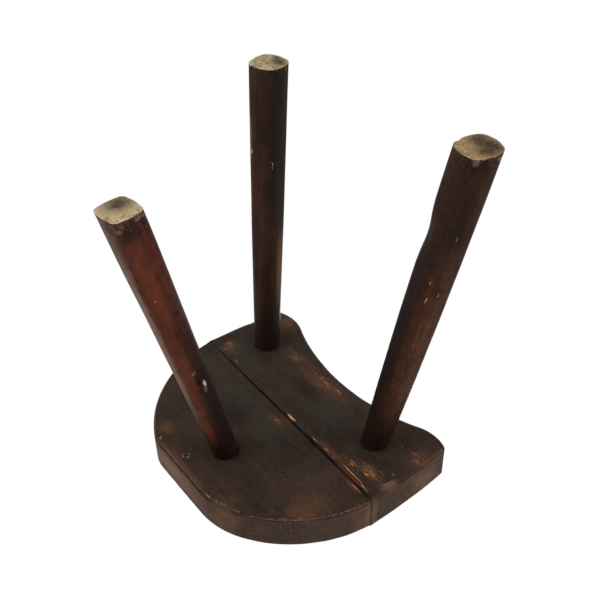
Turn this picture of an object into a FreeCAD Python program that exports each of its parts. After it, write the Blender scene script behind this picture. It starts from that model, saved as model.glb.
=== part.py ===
import FreeCAD, Part
import math
import os
import Sketcher

from FreeCAD import Placement, Rotation, Vector

# A three-legged milking stool of stained wood, standing on its feet.
# X runs along the grain of the seat, +Y points to its round rear and +Z is up.
# The origin is on the floor, under the middle of the stool. Lengths are millimetres, angles degrees.

# Driving dimensions: alias, value, what it measures. Plan sizes are taken from the middle of the seam
# between the two seat boards, and a leg leans from its socket along its sightline.
SIZES = (
    ("stool_height", 361, "floor to sitting face"),
    ("seam_y", -11.5, "place of the seam in front of the origin"),
    ("front_thickness", 40, "front board"),
    ("rear_thickness", 38.5, "rear board, planed a little thinner"),
    ("seat_radius", 141.5, "compass arc of the rear board, and half the seat at its widest"),
    ("widest_drop", 9, "widest place of the seat, in front of the seam"),
    ("side_radius", 560, "bow of the front board's ends"),
    ("hollow_depth", 75.5, "seam to the middle of the hollow front edge"),
    ("hollow_radius", 240, "hollow front edge"),
    ("hollow_shift", 5, "hollow, left of the middle"),
    ("horn_round", 45, "rounded tips of the hollow edge"),
    ("left_tip_depth", 91.4, "seam to the left tip"),
    ("right_tip_depth", 99.7, "seam to the right tip"),
    ("horn_corner", 5, "corner of a tip"),
    ("rear_flat", 9.5, "straight rear edge, short of the compass arc"),
    ("left_rear_corner", 35, "rounding where the arc meets the rear edge"),
    ("right_rear_corner", 90, "rounding where the arc meets the rear edge"),
    ("seam_gap", 1.6, "opening of the seam at the right end"),
    ("gap_start", 55, "where the seam begins to open"),
    ("edge_wear", 2.5, "worn arris of the seat"),
    ("tenon_diameter", 24, "round tenon of a leg"),
    ("glue_gap", 0.1, "between a tenon or dowel and its hole"),
    ("foot_corner", 5, "corner of a leg at the floor"),
    ("waist_corner", 10, "corner of a leg at half its length"),
    ("neck_flat", 0.5, "trace of a flat on each side of a leg's rounded neck"),
    ("trim_length", 16, "spare length that is sawn off a leg"),
    ("rear_socket_x", 4.4, "rear leg"),
    ("rear_socket_y", 75, "rear leg"),
    ("rear_sightline", 87.8, "rear leg"),
    ("rear_lean", 13.5, "rear leg"),
    ("rear_foot_width", 28.3, "rear leg"),
    ("rear_foot_depth", 29.3, "rear leg"),
    ("rear_waist", 28.2, "rear leg"),
    ("rear_neck", 24.6, "rear leg"),
    ("rear_twist", -8, "rear leg"),
    ("left_socket_x", -98, "left front leg"),
    ("left_socket_y", -47.5, "left front leg"),
    ("left_sightline", -126.7, "left front leg"),
    ("left_lean", 6.6, "left front leg"),
    ("left_foot_width", 30.9, "left front leg"),
    ("left_foot_depth", 29.4, "left front leg"),
    ("left_waist", 29.2, "left front leg"),
    ("left_neck", 26.6, "left front leg"),
    ("left_twist", -15.3, "left front leg"),
    ("right_socket_x", 86, "right front leg"),
    ("right_socket_y", -49.2, "right front leg"),
    ("right_sightline", -74.3, "right front leg"),
    ("right_lean", 14.1, "right front leg"),
    ("right_foot_width", 34.7, "right front leg"),
    ("right_foot_depth", 33.7, "right front leg"),
    ("right_waist", 32.1, "right front leg"),
    ("right_neck", 26.6, "right front leg"),
    ("right_twist", 7.9, "right front leg"),
    ("wedge_depth", 28, "seat top to the wedge's tip"),
    ("wedge_butt", 4.2, "wedge at the seat's top"),
    ("wedge_tip", 1, "wedge at its tip"),
    ("dowel_diameter", 10, "dowel across the seam"),
    ("dowel_length", 50, "dowel across the seam"),
    ("dowel_spacing", 60, "between two dowels"),
    ("dowel_end_gap", 0.8, "glue space past a dowel's end"),
)
LEGS = {"rear": "leg_rear", "left": "leg_front_left", "right": "leg_front_right"}
LEG_BOARD = {"rear": "sizes.rear_thickness", "left": "sizes.front_thickness", "right": "sizes.front_thickness"}
DOWELS = {"left": -1, "middle": 0, "right": 1}
PLAN_REACH = 600
TOUCH = 0.01

doc = FreeCAD.newDocument("milking_stool")
sizes = doc.addObject("Spreadsheet::Sheet", "sizes")
for row, (alias, number, note) in enumerate(SIZES, start=1):
    sizes.set(f"A{row}", note)
    sizes.set(f"B{row}", str(number))
    sizes.setAlias(f"B{row}", alias)
doc.recompute()


def size(alias):
    return float(sizes.get(alias))


def add(kind, name, **expressions):
    """Add an object and bind its properties to the sheet."""
    item = doc.addObject(kind, name)
    for prop, formula in expressions.items():
        item.setExpression(prop, formula)
    return item


def sketch_on(body, role, name, **offset):
    """Add a sketch on one of the body's origin planes, moved by formulas for its offset."""
    sketch = body.newObject("Sketcher::SketchObject", name)
    plane = next(item for item in body.Origin.OriginFeatures if item.Role == role)
    sketch.AttachmentSupport = (plane, [""])
    sketch.MapMode = "FlatFace"
    for axis, formula in offset.items():
        path = "AttachmentOffset.Rotation.Angle" if axis == "turn" else f"AttachmentOffset.Base.{axis}"
        sketch.setExpression(path, formula)
    return sketch


def bind(sketch, name, formula, kind, *geometry):
    """Add a dimension to a sketch and bind it to the sheet."""
    start = sketch.evalExpression(formula)
    index = sketch.addConstraint(Sketcher.Constraint(kind, *geometry, float(start)))
    sketch.renameConstraint(index, name)
    sketch.setExpression(f"Constraints.{name}", formula)


def arc(centre_x, centre_y, radius, start, end):
    """Counter-clockwise arc between two directions in degrees."""
    circle = Part.Circle(Vector(centre_x, centre_y, 0), Vector(0, 0, 1), radius)
    return Part.ArcOfCircle(circle, math.radians(start), math.radians(end))


def segment(x1, y1, x2, y2):
    return Part.LineSegment(Vector(x1, y1, 0), Vector(x2, y2, 0))


def direction(from_x, from_y, to_x, to_y):
    return math.degrees(math.atan2(to_y - from_y, to_x - from_x))


def join(sketch, kind, *ends):
    """Join curve ends pair by pair: Coincident, or Tangent for a smooth join."""
    for first, first_end, second, second_end in ends:
        sketch.addConstraint(Sketcher.Constraint(kind, first, first_end, second, second_end))


def horn_centre(tip, hollow, horn):
    """Centre of the rounding from a tip into the hollow, which is given as x, y and radius."""
    x, y, radius = hollow
    gap = math.hypot(tip[0] - x, tip[1] - y)
    along = (gap ** 2 + (radius + horn) ** 2 - horn ** 2) / (2 * gap)
    across = math.sqrt((radius + horn) ** 2 - along ** 2)
    out_x, out_y = (tip[0] - x) / gap, (tip[1] - y) / gap
    centres = [(x + along * out_x - side * across * out_y, y + along * out_y + side * across * out_x)
               for side in (-1, 1)]
    return max(centres, key=lambda centre: centre[1])


def draw_front_outline(sketch):
    """Front board: seam edge, bowed ends, and a hollow edge between two rounded horns."""
    side = size("side_radius")
    side_x = side - size("seat_radius")
    side_y = -size("widest_drop")
    seam_x = -side_x + math.sqrt(side ** 2 - side_y ** 2)
    horn = size("horn_round")
    hollow = size("hollow_radius")
    hollow_x = -size("hollow_shift")
    hollow_y = -size("hollow_depth") - hollow
    right_tip, left_tip = (
        (sign * (math.sqrt(side ** 2 - (depth + side_y) ** 2) - side_x), -depth)
        for sign, depth in ((1, size("right_tip_depth")), (-1, size("left_tip_depth"))))
    right_x, right_y = horn_centre(right_tip, (hollow_x, hollow_y, hollow), horn)
    left_x, left_y = horn_centre(left_tip, (hollow_x, hollow_y, hollow), horn)
    to_right = direction(hollow_x, hollow_y, right_x, right_y)
    to_left = direction(hollow_x, hollow_y, left_x, left_y)
    seam_angle = math.degrees(math.asin(-side_y / side))
    sketch.addGeometry([
        segment(-seam_x, 0, seam_x, 0),
        arc(-side_x, side_y, side, direction(-side_x, side_y, *right_tip), seam_angle),
        arc(right_x, right_y, horn, to_right - 180, direction(right_x, right_y, *right_tip)),
        arc(hollow_x, hollow_y, hollow, to_right, to_left),
        arc(left_x, left_y, horn, direction(left_x, left_y, *left_tip), to_left - 180),
        arc(side_x, side_y, side, 180 - seam_angle, 360 + direction(side_x, side_y, *left_tip)),
    ], False)
    join(sketch, "Coincident", (0, 1, 5, 1), (0, 2, 1, 2), (1, 1, 2, 2), (4, 1, 5, 2))
    join(sketch, "Tangent", (2, 1, 3, 1), (3, 2, 4, 2))
    sketch.addConstraint(Sketcher.Constraint("PointOnObject", 0, 1, -1))
    sketch.addConstraint(Sketcher.Constraint("PointOnObject", 0, 2, -1))
    bind(sketch, "side_bow", "sizes.side_radius", "Radius", 1)
    bind(sketch, "side_bow_left", "sizes.side_radius", "Radius", 5)
    bind(sketch, "side_out", "sizes.side_radius - sizes.seat_radius", "DistanceX", 1, 3, -1, 1)
    bind(sketch, "side_out_left", "sizes.side_radius - sizes.seat_radius", "DistanceX", -1, 1, 5, 3)
    bind(sketch, "side_drop", "sizes.widest_drop", "DistanceY", 1, 3, -1, 1)
    bind(sketch, "side_drop_left", "sizes.widest_drop", "DistanceY", 5, 3, -1, 1)
    bind(sketch, "horn_right", "sizes.horn_round", "Radius", 2)
    bind(sketch, "horn_left", "sizes.horn_round", "Radius", 4)
    bind(sketch, "tip_reach_right", "sizes.right_tip_depth", "DistanceY", 1, 1, -1, 1)
    bind(sketch, "tip_reach_left", "sizes.left_tip_depth", "DistanceY", 5, 2, -1, 1)
    bind(sketch, "hollow", "sizes.hollow_radius", "Radius", 3)
    bind(sketch, "hollow_across", "sizes.hollow_shift", "DistanceX", 3, 3, -1, 1)
    bind(sketch, "hollow_in", "sizes.hollow_depth + sizes.hollow_radius", "DistanceY", 3, 3, -1, 1)


def draw_rear_outline(sketch):
    """Rear board: seam edge that opens at its right end, compass arcs and a straight rear edge."""
    radius = size("seat_radius")
    drop = size("widest_drop")
    depth = radius - drop - size("rear_flat")
    left = size("left_rear_corner")
    right = size("right_rear_corner")
    gap = size("seam_gap")
    start = size("gap_start")
    seam_x = math.sqrt(radius ** 2 - drop ** 2)
    gap_x = math.sqrt(radius ** 2 - (drop + gap) ** 2)
    left_x = -math.sqrt((radius - left) ** 2 - (depth - left + drop) ** 2)
    right_x = math.sqrt((radius - right) ** 2 - (depth - right + drop) ** 2)
    left_turn = direction(0, -drop, left_x, depth - left)
    right_turn = direction(0, -drop, right_x, depth - right)
    sketch.addGeometry([
        segment(-seam_x, 0, start, 0),
        segment(start, 0, gap_x, gap),
        arc(0, -drop, radius, direction(0, -drop, gap_x, gap), right_turn),
        arc(right_x, depth - right, right, right_turn, 90),
        segment(right_x, depth, left_x, depth),
        arc(left_x, depth - left, left, 90, left_turn),
        arc(0, -drop, radius, left_turn, direction(0, -drop, -seam_x, 0)),
    ], False)
    join(sketch, "Coincident", (0, 2, 1, 1), (1, 2, 2, 1), (6, 2, 0, 1), (6, 3, 2, 3))
    join(sketch, "Tangent", (2, 2, 3, 1), (3, 2, 4, 1), (4, 2, 5, 1), (5, 2, 6, 1))
    sketch.addConstraint(Sketcher.Constraint("Horizontal", 4))
    sketch.addConstraint(Sketcher.Constraint("PointOnObject", 0, 1, -1))
    sketch.addConstraint(Sketcher.Constraint("PointOnObject", 0, 2, -1))
    sketch.addConstraint(Sketcher.Constraint("PointOnObject", 2, 3, -2))
    bind(sketch, "gap_from", "sizes.gap_start", "DistanceX", -1, 1, 0, 2)
    bind(sketch, "gap_width", "sizes.seam_gap", "DistanceY", -1, 1, 1, 2)
    bind(sketch, "compass", "sizes.seat_radius", "Radius", 2)
    bind(sketch, "compass_left", "sizes.seat_radius", "Radius", 6)
    bind(sketch, "compass_drop", "sizes.widest_drop", "DistanceY", 2, 3, -1, 1)
    bind(sketch, "corner_right", "sizes.right_rear_corner", "Radius", 3)
    bind(sketch, "corner_left", "sizes.left_rear_corner", "Radius", 5)
    plank_edge = "sizes.seat_radius - sizes.widest_drop - sizes.rear_flat"
    bind(sketch, "plank_edge", plank_edge, "DistanceY", -1, 1, 4, 1)


def draw_leg_section(sketch, width, depth, corner):
    """Rectangle with rounded corners about the leg's axis, its sizes given as formulas."""
    half_x = float(sketch.evalExpression(f"({width}) / 2"))
    half_y = float(sketch.evalExpression(f"({depth}) / 2"))
    round_off = float(sketch.evalExpression(corner))
    flat_x = half_x - round_off
    flat_y = half_y - round_off
    sketch.addGeometry([
        segment(-flat_x, -half_y, flat_x, -half_y),
        arc(flat_x, -flat_y, round_off, 270, 360),
        segment(half_x, -flat_y, half_x, flat_y),
        arc(flat_x, flat_y, round_off, 0, 90),
        segment(flat_x, half_y, -flat_x, half_y),
        arc(-flat_x, flat_y, round_off, 90, 180),
        segment(-half_x, flat_y, -half_x, -flat_y),
        arc(-flat_x, -flat_y, round_off, 180, 270),
    ], False)
    join(sketch, "Tangent", *[(side, 2, (side + 1) % 8, 1) for side in range(8)])
    for side, level in ((0, "Horizontal"), (4, "Horizontal"), (2, "Vertical"), (6, "Vertical")):
        sketch.addConstraint(Sketcher.Constraint(level, side))
    for first, second in ((1, 3), (3, 5), (5, 7)):
        sketch.addConstraint(Sketcher.Constraint("Equal", first, second))
    bind(sketch, "corner", corner, "Radius", 1)
    bind(sketch, "right", f"({width}) / 2", "DistanceX", -1, 1, 2, 1)
    bind(sketch, "left", f"({width}) / 2", "DistanceX", 6, 1, -1, 1)
    bind(sketch, "rear", f"({depth}) / 2", "DistanceY", -1, 1, 4, 1)
    bind(sketch, "front", f"({depth}) / 2", "DistanceY", 0, 1, -1, 1)


def is_level(edge, level):
    return all(abs(vertex.Z - level) < TOUCH for vertex in edge.Vertexes)


def arrises(shape):
    """Names of the upper and lower arrises of a board, but not those along its seam."""
    levels = [vertex.Z for vertex in shape.Vertexes]
    seam_ends = (size("seam_y") - TOUCH, size("seam_y") + size("seam_gap") + TOUCH)
    names = []
    for index, edge in enumerate(shape.Edges, start=1):
        at_seam = all(seam_ends[0] < vertex.Y < seam_ends[1] for vertex in edge.Vertexes)
        if not at_seam and (is_level(edge, min(levels)) or is_level(edge, max(levels))):
            names.append(f"Edge{index}")
    return names


def tip_edges(shape):
    """Names of the upright edges at the two tips of the front board."""
    front_of = size("seam_y") - size("hollow_depth") / 2
    uprights = {}
    for index, edge in enumerate(shape.Edges, start=1):
        first, last = edge.Vertexes[0], edge.Vertexes[-1]
        if math.hypot(first.X - last.X, first.Y - last.Y) < TOUCH and first.Y < front_of:
            uprights[first.X] = f"Edge{index}"
    return [uprights[min(uprights)], uprights[max(uprights)]]


def board_blank(name, thickness, draw):
    """Board sawn to its outline, before its holes are bored."""
    body = doc.addObject("PartDesign::Body", f"{name}_blank")
    underside = f"sizes.stool_height - {thickness}"
    sketch = sketch_on(body, "XY_Plane", f"{name}_outline", y="sizes.seam_y", z=underside)
    draw(sketch)
    pad = body.newObject("PartDesign::Pad", f"{name}_plank")
    pad.Profile = sketch
    pad.setExpression("Length", thickness)
    doc.recompute()
    return body, pad


def ease(body, base, name, edges, radius):
    """Round some edges of a board."""
    fillet = body.newObject("PartDesign::Fillet", name)
    fillet.Base = (base, edges)
    fillet.setExpression("Radius", radius)
    doc.recompute()
    return fillet


def leg_frame(prefix, sunk="0"):
    """Formula for a frame whose Z axis runs up a leaning leg from its socket, or from below it."""
    along = f"sizes.{prefix}_sightline"
    level = f"sizes.stool_height - {LEG_BOARD[prefix]}"
    return (
        f"create(<<placement>>; "
        f"create(<<vector>>; sizes.{prefix}_socket_x; sizes.seam_y + sizes.{prefix}_socket_y; {level}); "
        f"create(<<rotation>>; create(<<vector>>; sin({along}); -cos({along}); 0); sizes.{prefix}_lean))"
        f" * create(<<placement>>; create(<<vector>>; 0; 0; -({sunk})); "
        f"create(<<rotation>>; create(<<vector>>; 0; 0; 1); 0))"
    )


def slab(name, low, high):
    """Level block wider than the whole stool, between two heights."""
    box = add("Part::Box", name, Height=f"({high}) - ({low})")
    box.Length = 2 * PLAN_REACH
    box.Width = 2 * PLAN_REACH
    box.Placement = Placement(Vector(-PLAN_REACH, -PLAN_REACH, 0), Rotation())
    box.setExpression("Placement.Base.z", low)
    return box


def boolean(kind, name, base, tool):
    item = doc.addObject(kind, name)
    item.Base = base
    item.Tool = tool
    return item


def fuse(name, shapes):
    item = doc.addObject("Part::MultiFuse", name)
    item.Shapes = shapes
    return item


def rod_through(prefix, name, radius):
    """Round rod along a leg's axis that passes right through its board."""
    through = f"{LEG_BOARD[prefix]} / cos(sizes.{prefix}_lean) + 4 * sizes.trim_length"
    rod = add("Part::Cylinder", name, Radius=radius, Height=through)
    rod.setExpression("Placement", leg_frame(prefix, "2 * sizes.trim_length"))
    return rod


def shape_stick(prefix):
    """A leg left long at both ends: squarish at the floor, softer at its waist, round at its neck and tenon."""
    label = LEGS[prefix]
    thickness = LEG_BOARD[prefix]
    length = f"(sizes.stool_height - {thickness}) / cos(sizes.{prefix}_lean)"
    twist = f"sizes.{prefix}_twist"
    body = doc.addObject("PartDesign::Body", f"{label}_stick")
    body.setExpression("Placement", leg_frame(prefix))
    foot = sketch_on(body, "XY_Plane", f"{label}_foot", z=f"-{length} - sizes.trim_length", turn=twist)
    draw_leg_section(foot, f"sizes.{prefix}_foot_width", f"sizes.{prefix}_foot_depth", "sizes.foot_corner")
    waist = sketch_on(body, "XY_Plane", f"{label}_waist", z=f"-{length} / 2", turn=twist)
    draw_leg_section(waist, f"sizes.{prefix}_waist", f"sizes.{prefix}_waist", "sizes.waist_corner")
    neck = sketch_on(body, "XY_Plane", f"{label}_neck", z="sizes.trim_length / 2", turn=twist)
    neck_size = f"sizes.{prefix}_neck"
    draw_leg_section(neck, neck_size, neck_size, f"({neck_size} - sizes.neck_flat) / 2")
    loft = body.newObject("PartDesign::AdditiveLoft", f"{label}_taper")
    loft.Profile = foot
    loft.Sections = [waist, neck]
    doc.recompute()

    end = sketch_on(body, "XY_Plane", f"{label}_tenon_end", z="-sizes.trim_length")
    end.addGeometry(Part.Circle(Vector(0, 0, 0), Vector(0, 0, 1), size("tenon_diameter") / 2), False)
    join(end, "Coincident", (0, 3, -1, 1))
    bind(end, "round", "sizes.tenon_diameter / 2", "Radius", 0)
    tenon = body.newObject("PartDesign::Pad", f"{label}_tenon")
    tenon.Profile = end
    tenon.setExpression("Length", f"{thickness} / cos(sizes.{prefix}_lean) + 2 * sizes.trim_length")
    return body


def draw_wedge(sketch, top):
    """Tapered side of a wedge, its butt left standing above the seat."""
    butt = size("wedge_butt") / 2
    tip = size("wedge_tip") / 2
    high = float(sketch.evalExpression(top)) + size("trim_length") / 2
    low = float(sketch.evalExpression(top)) - size("wedge_depth")
    sketch.addGeometry([
        segment(-tip, low, tip, low),
        segment(tip, low, butt, high),
        segment(butt, high, -butt, high),
        segment(-butt, high, -tip, low),
    ], False)
    join(sketch, "Coincident", *[(side, 2, (side + 1) % 4, 1) for side in range(4)])
    sketch.addConstraint(Sketcher.Constraint("Horizontal", 0))
    sketch.addConstraint(Sketcher.Constraint("Horizontal", 2))
    bind(sketch, "tip_right", "sizes.wedge_tip / 2", "DistanceX", -1, 1, 0, 2)
    bind(sketch, "tip_left", "sizes.wedge_tip / 2", "DistanceX", 0, 1, -1, 1)
    bind(sketch, "butt_right", "sizes.wedge_butt / 2", "DistanceX", -1, 1, 1, 2)
    bind(sketch, "butt_left", "sizes.wedge_butt / 2", "DistanceX", 2, 2, -1, 1)
    bind(sketch, "tip_level", f"{top} - sizes.wedge_depth", "DistanceY", -1, 1, 0, 1)
    bind(sketch, "butt_level", f"{top} + sizes.trim_length / 2", "DistanceY", -1, 1, 2, 1)


def make_leg(prefix):
    """A leg trimmed level at both ends, the wedge in its tenon, and the hole for the tenon."""
    label = LEGS[prefix]
    level = f"sizes.stool_height - {LEG_BOARD[prefix]}"
    bore = rod_through(prefix, f"{label}_bore", "sizes.tenon_diameter / 2")
    board_room = slab(f"{label}_board_room", level, "sizes.stool_height")
    in_board = boolean("Part::Common", f"{label}_in_board", bore, board_room)
    below_board = slab(f"{label}_below_board", "0", level)
    room = fuse(f"{label}_room", [below_board, in_board])

    # the wedge lies across the grain of the seat, so that it can't split the board
    blank = doc.addObject("PartDesign::Body", f"{label}_wedge_blank")
    blank.setExpression("Placement", leg_frame(prefix))
    side = sketch_on(blank, "XZ_Plane", f"{label}_wedge_side")
    draw_wedge(side, f"{LEG_BOARD[prefix]} / cos(sizes.{prefix}_lean)")
    stock = blank.newObject("PartDesign::Pad", f"{label}_wedge_stock")
    stock.Profile = side
    stock.Midplane = True
    stock.setExpression("Length", "2 * sizes.tenon_diameter")
    wedge = boolean("Part::Common", f"{label}_wedge", blank, in_board)
    wedge.Label = label.replace("leg", "tenon_wedge")

    trimmed = boolean("Part::Common", f"{label}_trimmed", shape_stick(prefix), room)
    leg = boolean("Part::Cut", f"{label}_split", trimmed, blank)
    leg.Label = label
    return leg, wedge, rod_through(prefix, f"{label}_hole", "sizes.tenon_diameter / 2 + sizes.glue_gap")


def make_rod_across(name, place, radius, length):
    """Round rod across the seam, halfway through the rear board."""
    rod = add("Part::Cylinder", name, Radius=radius, Height=length)
    rod.Placement = Placement(Vector(0, 0, 0), Rotation(Vector(1, 0, 0), -90))
    rod.setExpression("Placement.Base.x", f"{place} * sizes.dowel_spacing")
    rod.setExpression("Placement.Base.y", f"sizes.seam_y - ({length}) / 2")
    rod.setExpression("Placement.Base.z", "sizes.stool_height - sizes.rear_thickness / 2")
    return rod


def bore_board(label, body, holes):
    """Cut the holes through a finished blank."""
    board = boolean("Part::Cut", f"{label}_bored", body, fuse(f"{label}_holes", holes))
    board.Label = label
    return board


# legs with their wedges, and the holes that take them
parts = []
leg_holes = {}
for prefix in LEGS:
    leg, wedge, leg_holes[prefix] = make_leg(prefix)
    parts += [leg, wedge]

# dowels that hold the two boards together, and the blind holes for them
dowel_holes = []
for side, place in DOWELS.items():
    dowel = make_rod_across(f"seat_dowel_{side}", place, "sizes.dowel_diameter / 2", "sizes.dowel_length")
    parts.append(dowel)
    dowel_holes.append(make_rod_across(
        f"dowel_hole_{side}", place, "sizes.dowel_diameter / 2 + sizes.glue_gap",
        "sizes.dowel_length + 2 * sizes.dowel_end_gap"))

# front board: tips eased, arrises worn, then bored
front_body, front_plank = board_blank("front_board", "sizes.front_thickness", draw_front_outline)
front_eased = ease(front_body, front_plank, "tip_corners", tip_edges(front_plank.Shape), "sizes.horn_corner")
ease(front_body, front_eased, "front_wear", arrises(front_eased.Shape), "sizes.edge_wear")
parts.append(bore_board("seat_front_board", front_body, [leg_holes["left"], leg_holes["right"], *dowel_holes]))

# rear board: arrises worn, then bored
rear_body, rear_plank = board_blank("rear_board", "sizes.rear_thickness", draw_rear_outline)
ease(rear_body, rear_plank, "rear_wear", arrises(rear_plank.Shape), "sizes.edge_wear")
parts.append(bore_board("seat_rear_board", rear_body, [leg_holes["rear"], *dowel_holes]))
doc.recompute()

# every object must have recomputed, and every piece must be one sound solid, before anything is written
for item in doc.Objects:
    if "Invalid" in item.State or "Error" in item.State:
        raise RuntimeError(f"{item.Name} did not recompute: {item.State}")
for item in parts:
    if item.Shape.isNull() or not item.Shape.isValid() or len(item.Shape.Solids) != 1:
        raise RuntimeError(f"{item.Label} is not one sound solid")

os.makedirs("parts", exist_ok=True)
for item in parts:
    item.Shape.exportStep(f"parts/{item.Label}.step")
    print(f"{item.Label}: {item.Shape.Volume / 1000:.1f} cm3")
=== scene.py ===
import math

import bpy
import numpy as np
from mathutils import Matrix, Vector, noise


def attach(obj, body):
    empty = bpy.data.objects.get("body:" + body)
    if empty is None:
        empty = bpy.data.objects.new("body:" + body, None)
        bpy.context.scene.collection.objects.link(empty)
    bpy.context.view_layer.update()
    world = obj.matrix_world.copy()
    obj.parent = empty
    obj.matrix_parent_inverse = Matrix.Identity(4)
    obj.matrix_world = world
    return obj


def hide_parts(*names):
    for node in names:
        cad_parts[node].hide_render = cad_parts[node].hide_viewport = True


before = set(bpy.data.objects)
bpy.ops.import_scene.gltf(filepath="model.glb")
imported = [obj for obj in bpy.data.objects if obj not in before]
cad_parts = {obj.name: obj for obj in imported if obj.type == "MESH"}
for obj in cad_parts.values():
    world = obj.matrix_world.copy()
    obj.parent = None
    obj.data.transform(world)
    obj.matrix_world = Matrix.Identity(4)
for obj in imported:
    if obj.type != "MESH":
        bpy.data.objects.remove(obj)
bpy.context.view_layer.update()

# The seat: two pine planks, dowelled edge to edge, sawn to a half round with a hollow front edge.
# They are stained near black and worn through to brown wood at the edges that hands reach.
# Places are millimetres in the stool's own frame, and the seat's underside is at its lower heights.
MM = 0.001
SEAT_GRID = 1.0
SEAM_Y = -11.5
FRONT_UNDERSIDE = 321
REAR_UNDERSIDE = 322.5
REAR_FLAT_Y = 111.5
SEAT_TOP = 361
ARRIS_WEAR = 0.8
ROUNDED_MORE = 1.6
WORN_PATCH = (14, 14, 14)
HAND_PLANE_WAVE = 0.35
HAND_PLANE_STROKE = (70, 45, 45)
GRAIN_RELIEF = 0.12
GRAIN_RIDGE = (60, 3.4, 3.4)
HOLE_RIM = (21, 21, 14)
SEAM_OPENING = ((-130, -60, 0, 60, 120, 134), (0.5, 0.8, 0.9, 1.3, 1.0, 0.1))
SEAM_PRESS = 1.2
SEAM_PRESS_X = 132
SEAM_DIRT_WIDTH = 1.1
SEAM_DIRT_BITE = (9, 60, 60)
RING_BEND = 9
RING_BEND_SIZE = 35
BITES_PER_MM = 0.6
MARK_OUTSIDE = 1.15
MARK_INSIDE = 0.6


def paint(code, alpha=1.0):
    """Linear colour from an sRGB hex code."""
    channels = [int(code[place:place + 2], 16) / 255 for place in (1, 3, 5)]
    linear = [c / 12.92 if c <= 0.04045 else ((c + 0.055) / 1.055) ** 2.4 for c in channels]
    return (*linear, alpha)


def add_node(material, kind, inputs=(), **settings):
    """Add a shader node with its settings, its input values and the links that feed it."""
    node = material.node_tree.nodes.new(f"ShaderNode{kind}")
    for name, value in settings.items():
        setattr(node, name, value)
    for name, value in dict(inputs).items():
        if isinstance(value, bpy.types.NodeSocket):
            material.node_tree.links.new(value, node.inputs[name])
        else:
            node.inputs[name].default_value = value
    return node


def new_material(name):
    material = bpy.data.materials.new(name)
    material.use_nodes = True
    material.node_tree.nodes.clear()
    return material


def stored(material, *names):
    """What a mesh stores at its points: the place along its grain, then the masks that are named."""
    place = add_node(material, "Attribute", attribute_name="grain").outputs["Vector"]
    return place, *(add_node(material, "Attribute", attribute_name=name).outputs["Fac"] for name in names)


def streaks(material, place, length, width, along, seed):
    """Noise drawn out along the grain to a length and width in mm: fibres, scratches and run stain."""
    shape = [1 / width] * 3
    shape["XYZ".index(along)] = 1 / length
    drawn = add_node(material, "Mapping", {"Vector": place, "Scale": shape, "Location": (seed, seed, seed)})
    return add_node(material, "TexNoise", {
        "Vector": drawn.outputs[0], "Scale": 1.0, "Detail": 4.0, "Roughness": 0.6}).outputs["Fac"]


def clouds(material, place, across, seed):
    """Noise alike in every direction, some mm across: stain blotches, dirt and handling."""
    moved = add_node(material, "Mapping", {"Vector": place, "Location": (seed, -seed, 2 * seed)})
    return add_node(material, "TexNoise", {
        "Vector": moved.outputs[0], "Scale": 1 / across, "Detail": 4.0, "Roughness": 0.6}).outputs["Fac"]


def growth_rings(material, place, pith, spacing, seed):
    """Year rings about a pith that runs along one axis: place on the pith, with None for that axis."""
    bent = add_node(material, "TexNoise", {"Vector": place, "Scale": 1 / RING_BEND_SIZE, "Detail": 2.0})
    centred = add_node(material, "VectorMath", {
        0: place, 1: [part or 0 for part in pith]}, operation="SUBTRACT")
    across = add_node(material, "VectorMath", {
        0: centred.outputs[0], 1: [0 if part is None else 1 for part in pith]}, operation="MULTIPLY")
    radius = add_node(material, "VectorMath", {0: across.outputs[0]}, operation="LENGTH").outputs["Value"]
    turns = blend(material, (radius, 2 * math.pi / spacing), (bent.outputs["Fac"], RING_BEND), (seed, 1))
    return add_node(material, "Math", {0: turns}, operation="SINE").outputs[0]


def blend(material, *parts):
    """Sum of patterns, each by its share."""
    total = 0.0
    for pattern, share in parts:
        total = add_node(
            material, "Math", {0: pattern, 1: share, 2: total}, operation="MULTIPLY_ADD").outputs[0]
    return total


def layer(material, below, top, amount, low, high, most=1.0):
    """Lay a colour over the one below, more and more as the amount rises from low to high."""
    mask = add_node(material, "MapRange", {
        "Value": amount, "From Min": low, "From Max": high, "To Max": most}, interpolation_type="SMOOTHSTEP")
    return add_node(material, "MixRGB", {
        "Fac": mask.outputs["Result"], "Color1": below, "Color2": paint(top)}).outputs["Color"]


def scars(material, place, marks, ragged=1.2):
    """Mask of small marks, each a ragged ellipsoid: its place, its sizes and its turn about the upright."""
    torn = add_node(material, "TexNoise", {"Vector": place, "Scale": BITES_PER_MM, "Detail": 3.0})
    shifted = add_node(material, "VectorMath", {
        0: torn.outputs["Color"], 1: (0.5, 0.5, 0.5)}, operation="SUBTRACT")
    scattered = add_node(material, "VectorMath", {
        0: shifted.outputs[0], 1: (2 * ragged,) * 3, 2: place}, operation="MULTIPLY_ADD").outputs[0]
    total = 0.0
    for middle, sizes, turn in marks:
        near = add_node(material, "Mapping", {
            "Vector": scattered, "Location": middle, "Rotation": (0, 0, math.radians(turn)),
            "Scale": [size / 2 for size in sizes]}, vector_type="TEXTURE")
        reach = add_node(material, "VectorMath", {0: near.outputs[0]}, operation="LENGTH").outputs["Value"]
        mark = add_node(material, "MapRange", {
            "Value": reach, "From Min": MARK_OUTSIDE, "From Max": MARK_INSIDE}).outputs[0]
        total = add_node(material, "Math", {0: total, 1: mark}, operation="MAXIMUM").outputs[0]
    return total


def finish_wood(material, colour, roughness, height, relief, shine):
    """Close a wood material: the bump from its height, its shader and the output."""
    bump = add_node(material, "Bump", {"Height": height, "Distance": relief * MM, "Strength": 1.0})
    shader = add_node(material, "BsdfPrincipled", {
        "Base Color": colour, "Roughness": roughness, "Normal": bump.outputs["Normal"],
        "IOR": 1.5, "Specular IOR Level": shine})
    add_node(material, "OutputMaterial", {"Surface": shader.outputs["BSDF"]})
    return material


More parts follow.
